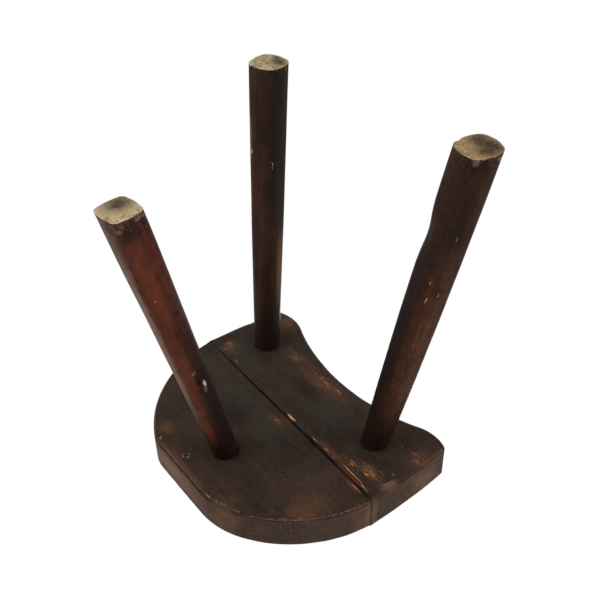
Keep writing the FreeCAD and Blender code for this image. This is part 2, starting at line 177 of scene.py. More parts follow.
def settle(piece):
    """Turn what a piece's modifiers make into its mesh."""
    shapes = bpy.context.evaluated_depsgraph_get()
    mesh = bpy.data.meshes.new_from_object(piece.evaluated_get(shapes))
    piece.modifiers.clear()
    piece.data = mesh


def dense_copy(node, name):
    """Copy of a CAD node on an even fine mesh, which wear can be cut into."""
    piece = bpy.data.objects.new(name, node.data.copy())
    bpy.context.scene.collection.objects.link(piece)
    remesh = piece.modifiers.new("even_mesh", "REMESH")
    remesh.mode = "VOXEL"
    remesh.voxel_size = SEAT_GRID * MM
    settle(piece)
    piece.data.materials.clear()
    piece.data.shade_smooth()
    return piece


def read_mesh(mesh):
    """Vertices in millimetres, their normals, and the edges."""
    points = np.empty(len(mesh.vertices) * 3)
    mesh.vertices.foreach_get("co", points)
    normals = np.empty(len(mesh.vertices) * 3)
    mesh.vertex_normals.foreach_get("vector", normals)
    edges = np.empty(len(mesh.edges) * 2, int)
    mesh.edges.foreach_get("vertices", edges)
    return points.reshape(-1, 3) / MM, normals.reshape(-1, 3), edges.reshape(-1, 2)


def write_points(mesh, points):
    mesh.vertices.foreach_set("co", (points * MM).ravel())
    mesh.update()


def store(mesh, **values_by_name):
    """Keep a number, or a place, per vertex for the material."""
    for name, values in values_by_name.items():
        if values.ndim == 1:
            mesh.attributes.new(name, "FLOAT", "POINT").data.foreach_set("value", values.astype(np.float32))
        else:
            mesh.attributes.new(name, "FLOAT_VECTOR", "POINT").data.foreach_set("vector", values.ravel())


def soften(values, edges, rounds):
    """Even out numbers or points with those of their neighbours."""
    first, second = edges.T
    size = len(values)
    count = np.bincount(edges.ravel(), minlength=size)
    columns = values.reshape(size, -1)
    for _ in range(rounds):
        near = [np.bincount(first, column[second], size) + np.bincount(second, column[first], size)
                for column in columns.T]
        columns = 0.5 * columns + 0.5 * (np.array(near) / count).T
    return columns.reshape(values.shape)


def wander(points, bump_size, seed):
    """Smooth noise from about -1 to 1, with bumps of the given size in millimetres along x, y and z."""
    scaled = points / np.array(bump_size, float) + 31.7 * seed
    return np.array([noise.noise(Vector(point)) for point in scaled])


def bell(distance, reach):
    """Smooth bump that is 1 at no distance and falls away over the reach."""
    return np.exp(-(distance / reach) ** 2)


def zone(points, *places):
    """How deep each point lies in soft zones, from 0 to 1: each a middle and its reach along x, y and z."""
    depth = np.zeros(len(points))
    for middle, reach in places:
        far = ((points - middle) / reach) ** 2
        depth = np.maximum(depth, np.exp(-far.sum(axis=1)))
    return depth


def wear_board(piece, seed, rounded, holes):
    """Plane waves, raised grain and worn arrises of an old board.

    The arrises are rounder at some places, and stay sharp along the seam and round the leg holes.
    """
    points, normals, edges = read_mesh(piece.data)
    flat = normals[:, 2] ** 2
    halfway_turned = 4 * flat * (1 - flat)
    arris = np.clip(soften(halfway_turned, edges, 3) * 1.6, 0, 1)
    arris *= 1 - 0.8 * bell(points[:, 1] - SEAM_Y, 4)
    arris *= 1 - np.clip(1.3 * zone(points, *((hole, HOLE_RIM) for hole in holes)), 0, 1)
    ragged = 0.5 + 0.5 * wander(points, WORN_PATCH, seed)
    lift = HAND_PLANE_WAVE * wander(points, HAND_PLANE_STROKE, seed + 1)
    lift += GRAIN_RELIEF * wander(points, GRAIN_RIDGE, seed + 2) * (1 - np.abs(normals[:, 0]))
    lift -= arris * (ARRIS_WEAR * (0.3 + ragged) + ROUNDED_MORE * zone(points, *rounded))
    return points + lift[:, None] * normals, normals, arris


def close_seam(points, normals, toward):
    """Draw a board's seam face to the line where the boards meet, which stands a little open.

    At its right end the boards press into each other, so that no light shows through.
    """
    opening = np.interp(points[:, 0], *SEAM_OPENING)
    off = np.abs(points[:, 1] - SEAM_Y)
    on_face = (np.abs(normals[:, 1]) > 0.6) & (off < 3.5)
    points[on_face, 1] = SEAM_Y + toward * opening[on_face] / 2
    at_end = np.clip((points[:, 0] - SEAM_PRESS_X) / 5, 0, 1)
    points[:, 1] -= toward * SEAM_PRESS * np.clip(1 - off / 6, 0, 1) * at_end


def seam_dirt(points, seed):
    """Dirt in the seam, which draws a ragged dark line along both boards."""
    along = np.clip(0.55 + 0.6 * wander(points, SEAM_DIRT_BITE, seed), 0, 0.8)
    return bell(points[:, 1] - SEAM_Y, SEAM_DIRT_WIDTH) * along


def upright(normals):
    """How far the skin stands upright: 1 on a board's sides and 0 on its faces."""
    return np.clip(1 - 1.5 * np.abs(normals[:, 2]), 0, 1)


def in_zones(points, zones):
    """How deep each point lies in each kind of wear or dirt."""
    return {name: zone(points, *places) for name, places in zones.items()}


FRONT_HOLES = (
    (-98, -59, FRONT_UNDERSIDE), (86, -60.7, FRONT_UNDERSIDE),
    (-95.2, -55.3, SEAT_TOP), (83.3, -51, SEAT_TOP),
)
FRONT_ROUNDED = (((138, -40, 322), (10, 45, 10)), ((-112, -105, 322), (30, 20, 10)))
FRONT_ZONES = {
    "rubbed": (
        ((-10, -70, 320), (48, 13, 12)), ((112, -31, 320), (22, 9, 6)), ((-120, -24, 320), (12, 10, 6)),
        ((130, -80, 321), (14, 18, 10)), ((-61, -72, 320), (22, 9, 6)), ((141, -90, 342), (8, 40, 30)),
        ((-112, -98, 321), (18, 14, 10)), ((70, -18, 320), (40, 4, 6)), ((0, -60, SEAT_TOP), (110, 60, 8))),
    "bare": (
        ((-121, -25, 321), (8, 6, 4)), ((-95, -16, 321), (4, 2, 4)), ((115, -31, 321), (20, 10, 4)),
        ((94, -24, 321), (16, 6, 4)), ((-14, -73, 321), (28, 4, 4)), ((8, -75, 321), (8, 2, 4)),
        ((131, -76, 321), (6, 5, 4)), ((-59, -69, 321), (7, 4, 4)), ((66, -15.5, 321), (32, 2.8, 4)),
        ((-137, -67, 321), (5, 4, 4))),
    "haze": (
        ((-105, -32, 320), (22, 12, 8)), ((-75, -24, 320), (50, 10, 8)), ((30, -48, 320), (30, 16, 8))),
    "dust": (
        ((138, -36, 322), (5, 12, 5)), ((141, -14, 342), (4, 5, 26)), ((141, -85, 345), (5, 20, 16))),
    # The zones round the legs' sockets below are painted shade; the last one is soot.
    "soot": (
        ((-98, -59, 320), (23, 23, 20)), ((86, -61, 320), (25, 25, 20)), ((-15, -50, 320), (34, 13, 10))),
}
SPLINTER_EDGE = ((79, 86, 98, 111, 120, 128, 136), (-11, -15.0, -15.8, -15.4, -14.2, -13.2, -11))
SPLINTER_BITE = (7, 50, 50)
SPLINTER_SLOPE = 2.6
SPLINTER_RISE = 10
SPLINTER_DEPTH = 5
CHIP_X = 9
CHIP_Y = -15.2
CHIP_RISE = 4
CHIP_DEPTH = 1.6
NOTCHES = (((-142, -64.5, 320), (4, 1.3, 5)), ((-142, -69, 320), (4, 1.2, 5)))
NOTCH_DEPTH = 3.5

front = dense_copy(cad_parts["seat_front_board"], "front_board")
points, normals, arris = wear_board(front, 1, FRONT_ROUNDED, FRONT_HOLES)
close_seam(points, normals, -1)
x, y, z = points.T
splinter_edge = np.interp(x, *SPLINTER_EDGE) + 0.4 * wander(points, SPLINTER_BITE, 3)
splinter = np.clip((y - splinter_edge) / SPLINTER_SLOPE, 0, 1)
splinter = splinter * np.clip((FRONT_UNDERSIDE + SPLINTER_RISE - z) / SPLINTER_RISE, 0, 1)
chip = np.clip((y - CHIP_Y) / 3, 0, 1) * bell(x - CHIP_X, 7)
chip = chip * np.clip((FRONT_UNDERSIDE + CHIP_RISE - z) / CHIP_RISE, 0, 1)
points[:, 2] += SPLINTER_DEPTH * splinter + CHIP_DEPTH * chip
points[:, 0] += NOTCH_DEPTH * zone(points, *NOTCHES)
write_points(front.data, points)
torn_face = np.clip(4 * splinter, 0, 1) * np.clip((SEAM_Y - 0.8 - y) / 1.2, 0, 1)
# Near black: painted shade over the splinter's recess, and dirt along the seam.
cracked = np.maximum(np.clip(1.3 * splinter, 0, 1), seam_dirt(points, 11))
store(front.data, grain=points, arris=arris, side=upright(normals), crack=cracked, split=torn_face,
      **in_zones(points, FRONT_ZONES))

REAR_HOLES = ((4.4, 63.5, REAR_UNDERSIDE), (4, 54.3, SEAT_TOP))
REAR_ROUNDED = (((70, 98, 322), (30, 20, 10)),)
REAR_ZONES = {
    "rubbed": (
        ((-58, 95, 322), (14, 14, 8)), ((-5, 108, 322), (55, 5, 5)), ((112, 45, 322), (22, 30, 8)),
        ((62, 104, 340), (26, 16, 40)), ((0, 112, 342), (60, 4, 30)), ((140, 2, 342), (10, 12, 40)),
        ((1, 0, 322), (12, 6, 4)), ((118, -8, 322), (18, 3, 4)), ((0, 60, SEAT_TOP), (110, 80, 8))),
    "bare": (
        ((1.6, -1, 322), (7, 3, 3)), ((118, -8.5, 322), (13, 2, 3)), ((-49, 107, 322), (4, 4, 4))),
    "haze": (
        ((-40, 10, 322), (55, 20, 8)), ((15, 16, 322), (30, 12, 8)), ((-30, 112, 345), (24, 5, 20))),
    "dust": (
        ((-25, 112, 342), (34, 4, 16)), ((141, -8, 342), (4, 6, 26)), ((-50, 110, 345), (12, 6, 20))),
    # The zone round the leg's socket below is painted shade; the other one is soot.
    "soot": (
        ((4.4, 63.5, 322), (27, 27, 20)), ((-30, 30, 322), (30, 20, 8))),
}
GROOVE_LEVEL = 325.8
GROOVE_DEPTH = 1.5
LEFT_END_X = -70
LEFT_END_DROP = 1.4

rear = dense_copy(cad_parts["seat_rear_board"], "rear_board")
points, normals, arris = wear_board(rear, 5, REAR_ROUNDED, REAR_HOLES)
close_seam(points, normals, 1)
x, y, z = points.T
groove = bell(z - GROOVE_LEVEL, 1.7) * np.clip((58 - np.abs(x + 6)) / 8, 0, 1) * (y > REAR_FLAT_Y - 2)
points[:, 1] -= GROOVE_DEPTH * groove
lowered = np.clip((LEFT_END_X - x) / 60, 0, 1) * np.clip(1 - (y - SEAM_Y) / 70, 0, 1)
lowered = lowered * np.clip((328 - z) / 4, 0, 1)
points[:, 2] -= LEFT_END_DROP * lowered
write_points(rear.data, points)
# Near black: painted shade in the groove under the flat, and dirt along the seam.
cracked = np.maximum(0.8 * groove, seam_dirt(points, 12))
store(rear.data, grain=points, arris=arris, side=upright(normals), crack=cracked, split=0.6 * groove,
      **in_zones(points, REAR_ZONES))

PINE = dict(
    pores="#1f1915", stain="#3b2b21", bloom="#2a2b25", rubbed="#573a27", soot="#15100d", dust="#644b3a",
    sawn="#5e4434", speck="#4e4134", worn="#574539", edge="#8d6c4a", hairline="#6b4e37", torn="#6a452a",
    bare="#b08150", ripped="#865a31", sliver_and_highlight="#c08f63", fleck_and_highlight="#87786a", crack="#180b05", split="#5c2f18")


def stained_pine(name, pith, slivers_and_highlights, flecks_and_highlights, tears):
    """Pine under an old dark stain, dull and dry: brown where it is rubbed, orange where it is bare."""
    material = new_material(name)
    place, arris, side, crack, split, rubbed, bare, haze, dust, soot = stored(
        material, "arris", "side", "crack", "split", "rubbed", "bare", "haze", "dust", "soot")
    fibre = streaks(material, place, 14, 0.9, "X", 3)
    band = streaks(material, place, 120, 6, "X", 8)
    tear = streaks(material, place, 5, 0.8, "X", 13)
    saw = streaks(material, place, 16, 1.5, "Z", 29)
    scratch = streaks(material, place, 22, 0.7, "X", 17)
    blotch = clouds(material, place, 38, 5)
    grime = clouds(material, place, 14, 11)
    speck = clouds(material, place, 2.2, 2)
    ring = growth_rings(material, place, pith, 4.5, 1)

    # The stain: nearly black where the pine drank it, dark brown between.
    tone = blend(material, (blotch, 0.4), (fibre, 0.3), (band, 0.12), (speck, 0.33), (ring, 0.015))
    ramp = add_node(material, "ValToRGB", {"Fac": tone})
    ramp.color_ramp.elements[0].position = 0.46
    ramp.color_ramp.elements[0].color = paint(PINE["pores"])
    ramp.color_ramp.elements[1].position = 0.74
    ramp.color_ramp.elements[1].color = paint(PINE["stain"])

    # On it lie a grey-green bloom, brown where hands rubbed it, painted shade round the legs' sockets with
    # soot beside it, and pale dust.
    bloom = blend(material, (grime, 1), (haze, 0.25))
    colour = layer(material, ramp.outputs["Color"], PINE["bloom"], bloom, 0.5, 0.8, 0.6)
    brown = blend(material, (rubbed, 0.5), (fibre, 0.4), (grime, 0.5), (speck, 0.4))
    colour = layer(material, colour, PINE["rubbed"], brown, 0.75, 1.45, 0.85)
    # Near black: painted shade round the leg sockets, and soot.
    colour = layer(material, colour, PINE["soot"], soot, 0.3, 1.3, 0.72)
    pale = blend(material, (dust, 0.6), (grime, 0.5), (speck, 0.5))
    colour = layer(material, colour, PINE["dust"], pale, 0.6, 1.2, 0.8)

    # Saw marks show on the sides, and the arrises are worn to grey and then to golden wood.
    sawn = blend(material, (side, 0.5), (saw, 0.35), (grime, 0.4), (speck, 0.4))
    colour = layer(material, colour, PINE["sawn"], sawn, 0.9, 1.35, 0.5)
    colour = layer(material, colour, PINE["speck"], speck, 0.6, 0.75, 0.4)
    worn = blend(material, (arris, 0.45), (speck, 0.45), (grime, 0.5))
    colour = layer(material, colour, PINE["worn"], worn, 0.7, 1.1, 0.55)
    edge = blend(material, (arris, 0.7), (speck, 0.8), (tear, 0.6))
    colour = layer(material, colour, PINE["edge"], edge, 1.36, 1.54, 0.6)

    # Scratches and torn patches show bare wood. The marks that were placed one by one come last; slivers and
    # flecks along the arrises are painted highlights on worn wood as well.
    hairline = blend(material, (scratch, 1), (rubbed, 0.08))
    colour = layer(material, colour, PINE["hairline"], hairline, 0.69, 0.8, 0.5)
    torn = blend(material, (bare, 0.4), (tear, 1.3), (speck, 0.4))
    colour = layer(material, colour, PINE["torn"], torn, 1.12, 1.32, 0.75)
    colour = layer(material, colour, PINE["bare"], torn, 1.32, 1.44, 0.8)
    ripped = blend(material, (scars(material, place, tears, 3), 0.4), (tear, 1.5), (speck, 0.7))
    colour = layer(material, colour, PINE["ripped"], ripped, 1.42, 1.62, 0.85)
    # Slivers of bare wood; the long thin ones along the seam's arrises are painted highlights too.
    colour = layer(material, colour, PINE["sliver_and_highlight"], scars(material, place, slivers_and_highlights, 0.8), 0, 1, 0.85)
    # Pale flecks of worn wood; the thin dashes along the arrises are painted highlights too.
    colour = layer(material, colour, PINE["fleck_and_highlight"], scars(material, place, flecks_and_highlights, 1.5), 0, 1, 0.55)
    # Near black: dirt in the seam, and painted shade in the splinter's recess and the groove.
    colour = layer(material, colour, PINE["crack"], crack, 0.15, 0.75)
    raw_split = blend(material, (split, 0.7), (fibre, 0.6))
    colour = layer(material, colour, PINE["split"], raw_split, 0.55, 1.0, 0.85)

    height = blend(material, (fibre, 0.8), (speck, 0.6), (scratch, -0.5), (torn, -0.4), (saw, 0.15))
    rough = blend(material, (speck, 0.25), (rubbed, -0.08), (0.5, 1))
    return finish_wood(material, colour, rough, height, 0.3, 0.06)


# Each mark is its place, its sizes and its turn about the upright, in millimetres and degrees.
# Slivers of bare wood; the long thin ones along the seam's arrises are painted highlights too.
FRONT_SLIVERS_AND_HIGHLIGHTS = (
    ((9, -14, 321.6), (15, 1.9, 4), 0), ((48, -14.4, 321), (9, 0.8, 3), 0),
    ((105, -16.4, 321), (34, 0.7, 3), 1), ((125, -14.4, 321.4), (14, 0.6, 3), 6),
    ((113.8, -26.5, 321), (5, 1.4, 3), -8),
)
FRONT_TEARS = (
    ((-121.5, -27, 321), (10, 6, 3), 20), ((-119, -18, 321), (6, 9, 3), 0),
    ((-106, -23.5, 321), (5, 3, 3), 0),
    ((-95, -17, 321), (4, 3, 3), 0), ((96, -26, 321), (16, 1.4, 3), 0), ((109, -29, 321), (14, 1.4, 3), 0),
    ((119, -34, 321), (12, 2, 3), 0), ((121, -40, 321), (12, 1.4, 3), 0), ((104, -20, 321), (9, 1.2, 3), 0),
    ((130, -47, 321), (5, 3, 3), 0), ((-42, -64, 321), (7, 3, 3), 0), ((-61, -71, 321), (6, 3, 3), 0),
    ((124, -81, 321), (8, 2, 3), 0), ((-137, -66, 321), (6, 4, 3), 0),
)
REAR_TEARS = (
    ((1.6, 0, 322.5), (8, 3, 3), 0), ((-8, 3, 322.5), (6, 4, 3), 0), ((-46, 108, 323), (4, 2, 2), 30),
)
# Pale flecks of worn wood; the thin dashes along the arrises are painted highlights too.
FRONT_FLECKS_AND_HIGHLIGHTS = (
    ((90, -31.5, 321), (2.0, 1.2, 2), 40), ((118, -80.6, 321), (11, 0.5, 2), 0),
    ((107, -78, 321), (1.4, 1, 2), 0), ((-136, -38, 321), (3, 0.8, 2), 0),
    ((134.5, -35, 321.3), (1, 14, 3), 10), ((8.7, -75.4, 321), (5, 0.7, 2), 0),
)
# Slivers of bare wood; the one along the seam is a painted highlight too.
REAR_SLIVERS_AND_HIGHLIGHTS = (
    ((-49, 106.5, 322.7), (3, 1, 2), 60), ((120, -9, 322.5), (14, 0.5, 2), 0),
)
# Pale flecks of worn wood; the thin dashes along the curved arris at 323 mm are painted highlights too.
REAR_FLECKS_AND_HIGHLIGHTS = (
    ((-15, 101.3, 322.5), (6, 1.2, 2), 25), ((-10.5, 98.3, 322.5), (3, 3, 2), 20),
    ((-13, 95, 322.5), (4, 1, 2), -30),
    ((42, 108.6, 323.2), (8, 1, 3), -15), ((57, 104, 323.2), (20, 0.6, 3), -19),
    ((76, 96, 323.2), (20, 0.6, 3), -26), ((107, 68.5, 322.8), (8, 0.7, 3), -50),
    ((116, 56, 322.8), (5, 0.7, 3), -54), ((113.6, 63.6, 336.5), (2.4, 2, 1.2), -55),
    ((114, 63, 345.5), (1.4, 1.4, 2.6), -55), ((71, 39, 322.5), (1.6, 1.2, 2), 0),
)
front.data.materials.append(stained_pine(
    "stained_pine_front", (None, -60, 450), FRONT_SLIVERS_AND_HIGHLIGHTS, FRONT_FLECKS_AND_HIGHLIGHTS, FRONT_TEARS))
rear.data.materials.append(stained_pine(
    "stained_pine_rear", (None, 40, 450), REAR_SLIVERS_AND_HIGHLIGHTS, REAR_FLECKS_AND_HIGHLIGHTS, REAR_TEARS))
for piece, node in ((front, "seat_front_board"), (rear, "seat_rear_board")):
    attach(piece, "root")
    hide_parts(node)

# The legs: sticks of close-grained hardwood, squared at the foot, eased to a round neck by spokeshave.
# Each is driven through its board as a round tenon. The stain is red brown, the worn feet are bare.
# A leg's own frame has its origin in the middle of its socket's mouth and its z up the leg's axis.
LEG_SIDES = 96
LEG_STEP = 2.0
TENON_RADIUS = 12
TENON_PROUD = 0.3
TENON_ARRIS = 0.4
TRIM = 16
WAIST_CORNER = 10
MEAN_RADIUS = 15
SHAVE_WAVE = 0.35
SHAVE_STROKE = (11, 11, 60)
WEDGE_DEPTH = 28
WEDGE_BUTT = 4.2
WEDGE_TIP = 1.0
SLOT_SPARE = 0.3
SLOT_PAST = 3
# A dent is its facing about the leg, its height, its depth, its half angle and its half length. A band of
# stain, of dust with painted sheen, or of painted shade is its facing, half angle, height, half length and
# strength.
# A mark is written as on the seat.
LEGS = {
    "rear": dict(
        node="leg_rear", socket=(4.4, 63.5, 322.5), sightline=87.8, lean=13.5, twist=-8, seed=2,
        foot=(28.3, 29.3), foot_corner=4.5, bulge=1.1, waist=28.2, neck=24.6,
        dents=((-29, -326, 0.8, 12, 5), (6, -124, 0.9, 16, 12)),
        red=((20, 36, -265, 80, 1.2), (32, 32, -165, 75, 0.95), (42, 25, -110, 55, 0.95),
             (48, 21, -52, 28, 1.3), (-28, 28, -265, 80, 0.75)),
        dusty=((84, 30, -200, 160, 1.1), (14, 40, -250, 60, 0.15)),
        sooty=((-30, 44, -95, 80, 0.9), (14, 40, -318, 10, 0.8)),
        nicks=(((13.5, -3.8, -120), (3, 3, 10), 0), ((15, 6.8, -243.1), (2, 0.7, 3), 0)),
        # The dark mark below is painted shade laid into the dent at 6 degrees.
        hollows=(((14, 1.2, -126), (4, 5, 14), 0),),
        scuffs=(((13.6, -8, -325.5), (3, 7, 5), 0), ((14.4, 2.5, -140), (3, 5, 5), 0),
                ((14.2, 10.5, -325), (5, 8, 5), 0), ((13.6, -2.6, -112), (3, 2.8, 9), 0),
                ((15.1, 8.1, -286.6), (2, 1.2, 3), 0), ((14.7, 1.5, -274.8), (2, 1.4, 5), 0)),
        tints=("#592c1e", "#664a3b"), mud=0.8, end_grain=("#9e8d71", "#e4d3b5"),
        soiled=(((-8, -4, -331), (11, 14, 9)),)),
    "left": dict(
        node="leg_front_left", socket=(-98, -59, 321), sightline=-126.7, lean=6.6, twist=-15.3, seed=4,
        foot=(30.9, 29.4), foot_corner=6, bulge=1.1, waist=29.2, neck=26.6,
        dents=((30, -324, 2.6, 24, 70), (210, -324, 1.4, 24, 70)),
        red=((75, 44, -240, 120, 0.2),), dusty=((-24, 19, -100, 52, 1.3),),
        sooty=((-7, 50, -255, 125, 1), (20, 60, -30, 60, 0.6)),
        nicks=(((16.3, 6.1, -226), (2, 0.7, 11), 0), ((17, 4, -309.7), (2, 0.9, 4), 0),
               ((-3.8, 16.2, -235), (1, 2, 6), 0)),
        hollows=(), scuffs=(((13.8, -9, -321), (2, 4, 7), 0), ((-6, 16, -250), (4, 2, 60), 0)),
        tints=("#4a241a", "#563f30"), mud=0.1, end_grain=("#a19279", "#e4d5b7"),
        soiled=(((5, -8, -324), (9, 7, 9)), ((-2, -11, -324), (6, 4, 9)))),
    "right": dict(
        node="leg_front_right", socket=(86, -60.7, 321), sightline=-74.3, lean=14.1, twist=7.9, seed=7,
        foot=(34.7, 33.7), foot_corner=8, bulge=1.6, waist=32.1, neck=26.6,
        dents=((135, -245, 3.0, 30, 20), (161, -326, 1.8, 9, 20)),
        red=((54, 22, -110, 110, 0.7), (50, 14, -195, 25, 0.8)), dusty=((8, 40, -125, 120, 0.8),),
        sooty=((115, 44, -120, 140, 0.9), (60, 40, -20, 30, 0.6)),
        nicks=(((12.1, 14.8, -186.1), (2, 1.2, 7), 45), ((11.4, 15.9, -204.4), (2, 1, 4), 45),
               ((15.9, 8.5, -251.8), (2, 0.9, 6), 0), ((15.7, 5.9, -192.7), (2, 0.6, 6), 0)),
        hollows=(),
        scuffs=(((14, 15.5, -326), (7, 7, 9), 0), ((13.7, 11.2, -137), (1.4, 0.9, 60), 0),
                ((18.5, -8, -329), (4, 8, 5), 0)),
        tints=("#4c281a", "#523826"), mud=0.3, end_grain=("#9d8868", "#dac19a"),
        soiled=(((4, -8, -333), (18, 12, 12)), ((-8, -8, -332), (11, 9, 12)), ((9, -2, -333), (11, 11, 12)))),
}


def leg_stand(leg):
    """Where a leg's own frame stands in the stool."""
    sight = math.radians(leg["sightline"])
    across = Vector((math.sin(sight), -math.cos(sight), 0))
    socket = Matrix.Translation(Vector(leg["socket"]) * MM)
    return socket @ Matrix.Rotation(math.radians(leg["lean"]), 4, across)


def level_ring(stand, x, y, level):
    """Points over an outline in a leg's own frame that all lie at one level above the floor."""
    tilt = np.array(stand)[2]
    return np.column_stack((x, y, (level - tilt[3] / MM - tilt[0] * x - tilt[1] * y) / tilt[2]))


def tube(name, rings, stand):
    """Closed skin over rings of equally many points, set in place from a leg's own frame."""
    around = len(rings[0])
    faces = [(row * around + side, row * around + (side + 1) % around,
              (row + 1) * around + (side + 1) % around, (row + 1) * around + side)
             for row in range(len(rings) - 1) for side in range(around)]
    faces.append(tuple(reversed(range(around))))
    faces.append(tuple(range((len(rings) - 1) * around, len(rings) * around)))
    mesh = bpy.data.meshes.new(name)
    mesh.from_pydata((np.vstack(rings) * MM).tolist(), [], faces)
    mesh.transform(stand)
    piece = bpy.data.objects.new(name, mesh)
    bpy.context.scene.collection.objects.link(piece)
    return piece


def read_grain(mesh, stand):
    """Places of a mesh's vertices in a leg's own frame, and their levels above the floor."""
    points, _, _ = read_mesh(mesh)
    back = np.array(stand.inverted())
    return points @ back[:3, :3].T + back[:3, 3] / MM, points[:, 2]


def leg_profile(leg, z):
    """Half widths and corner radius of a leg at heights along its axis: smooth curves through its sizes."""
    length = leg["socket"][2] / math.cos(math.radians(leg["lean"]))
    stations = (-length - TRIM, -length / 2, TRIM / 2)
    waist, neck = leg["waist"] / 2, leg["neck"] / 2
    sizes = ((leg["foot"][0] / 2, waist, neck), (leg["foot"][1] / 2, waist, neck),
             (leg["foot_corner"], WAIST_CORNER, neck - 0.25))
    return [np.polyval(np.polyfit(stations, size, 2), z) for size in sizes]


def section_reach(angles, half_x, half_y, corner):
    """Distance from a leg's axis to its rounded square section in each direction."""
    across = np.abs(np.cos(angles))
    along = np.abs(np.sin(angles))
    centre_x = half_x - corner
    centre_y = half_y - corner
    middle = centre_x * across + centre_y * along
    on_corner = middle + np.sqrt(np.maximum(middle ** 2 - centre_x ** 2 - centre_y ** 2 + corner ** 2, 0))
    on_x = half_x / np.maximum(across, 1e-6)
    on_y = half_y / np.maximum(along, 1e-6)
    return np.where(on_x * along <= centre_y, on_x, np.where(on_y * across <= centre_x, on_y, on_corner))


def leg_reach(leg, angles, z):
    """Distance from a leg's axis to its skin: the section, its bulge, spokeshave waves and dents."""
    turned = angles - math.radians(leg["twist"])
    half_x, half_y, corner = leg_profile(leg, z)
    reach = section_reach(turned, half_x, half_y, corner)
    reach = reach + leg["bulge"] * np.cos(2 * turned) ** 2 * np.clip(-z / 300, 0, 1) ** 2
    skin = np.column_stack((
        MEAN_RADIUS * np.cos(angles), MEAN_RADIUS * np.sin(angles), np.full(len(angles), z)))
    reach = reach + SHAVE_WAVE * wander(skin, SHAVE_STROKE, leg["seed"]) * np.clip(-z / 20, 0, 1)
    for facing, middle, depth, half_angle, half_length in leg["dents"]:
        off = np.degrees(angles) - facing
        off = (off + 180) % 360 - 180
        reach = reach - depth * bell(off, half_angle) * bell(z - middle, half_length)
    return reach


def wedge_rings(stand, spare, top):
    """Outlines up a wedge that splits a tenon: thin at its tip, thick at its butt, as wide as the tenon."""
    rings = []
    for share in np.linspace(0, 1, 15):
        thick = WEDGE_TIP + (WEDGE_BUTT - WEDGE_TIP) * share + spare
        x = thick / 2 * np.array([1, 0.5, 0, -0.5, -1, -1, -0.5, 0, 0.5, 1])
        y = np.sqrt(TENON_RADIUS ** 2 - x ** 2) * np.repeat([1, -1], 5)
        rings.append(level_ring(stand, x, y, top - WEDGE_DEPTH * (1 - share)))
    return rings


def bands(grain, *places):
    """How deep points lie in bands on a leg, of stain, of dust with painted sheen, or of painted shade:
    facing, half angle, middle, half length, strength.
    """
    facing = np.degrees(np.arctan2(grain[:, 1], grain[:, 0]))
    depth = np.zeros(len(grain))
    for middle, half_angle, height, half_length, strength in places:
        off = (facing - middle + 180) % 360 - 180
        inside = np.exp(-np.abs(off / half_angle) ** 3 - np.abs((grain[:, 2] - height) / half_length) ** 3)
        depth = np.maximum(depth, strength * inside)
    return depth


def shaved_leg(name, leg):
    """Leg from a level foot, through its neck, to the end of its slotted tenon."""
    stand = leg_stand(leg)
    underside = leg["socket"][2]
    top = SEAT_TOP + TENON_PROUD
    steep = math.cos(math.radians(leg["lean"]))
    angles = np.arange(LEG_SIDES) * 2 * math.pi / LEG_SIDES
    foot = leg_reach(leg, angles, -underside / steep)
    outlines = [(0, foot * share) for share in np.linspace(0.04, 1, 14)]
    outlines += [(level, leg_reach(leg, angles, (level - underside) / steep))
                 for level in np.arange(0.8, underside, LEG_STEP)]
    tenon = np.full(LEG_SIDES, float(TENON_RADIUS))
    outlines += [(level, tenon) for level in np.arange(underside + 0.3, top - TENON_ARRIS, LEG_STEP)]
    outlines.append((top - TENON_ARRIS, tenon))
    outlines += [(top, tenon * share) for share in np.linspace(0.97, 0.06, 9)]
    piece = tube(name, [level_ring(stand, reach * np.cos(angles), reach * np.sin(angles), level)
                        for level, reach in outlines], stand)
    slot = tube("slot", wedge_rings(stand, SLOT_SPARE, top + SLOT_PAST), stand)
    cut = piece.modifiers.new("slot", "BOOLEAN")
    cut.object = slot
    cut.solver = "EXACT"
    settle(piece)
    bpy.data.objects.remove(slot)

    mesh = piece.data
    mesh.shade_smooth()
    mesh.set_sharp_from_angle(angle=math.radians(50))
    grain, level = read_grain(mesh, stand)
    turned = np.arctan2(grain[:, 1], grain[:, 0]) - math.radians(leg["twist"])
    half_x, _, corner = leg_profile(leg, grain[:, 2])
    square = np.abs(np.sin(2 * turned)) ** 3 * np.clip(1.3 * (1 - corner / half_x), 0, 1)
    # Bands by facing: red stain, dust with a painted sheen, and painted shade.
    store(mesh, grain=grain, level=level, corner=square * (level < underside),
          soiled=zone(grain, *leg["soiled"]), red=bands(grain, *leg["red"]),
          dusty=bands(grain, *leg["dusty"]), sooty=bands(grain, *leg["sooty"]))
    return piece


HARDWOOD = dict(
    pores="#1f1512", stain="#3a241b", soot="#1b1714", rubbed="#5b4436", speck="#55463b", painted_neck_shade="#140e0b",
    mud="#65594a", frayed="#8d744f", scuff="#776450", hollow="#160d0a", nick="#b8a996")


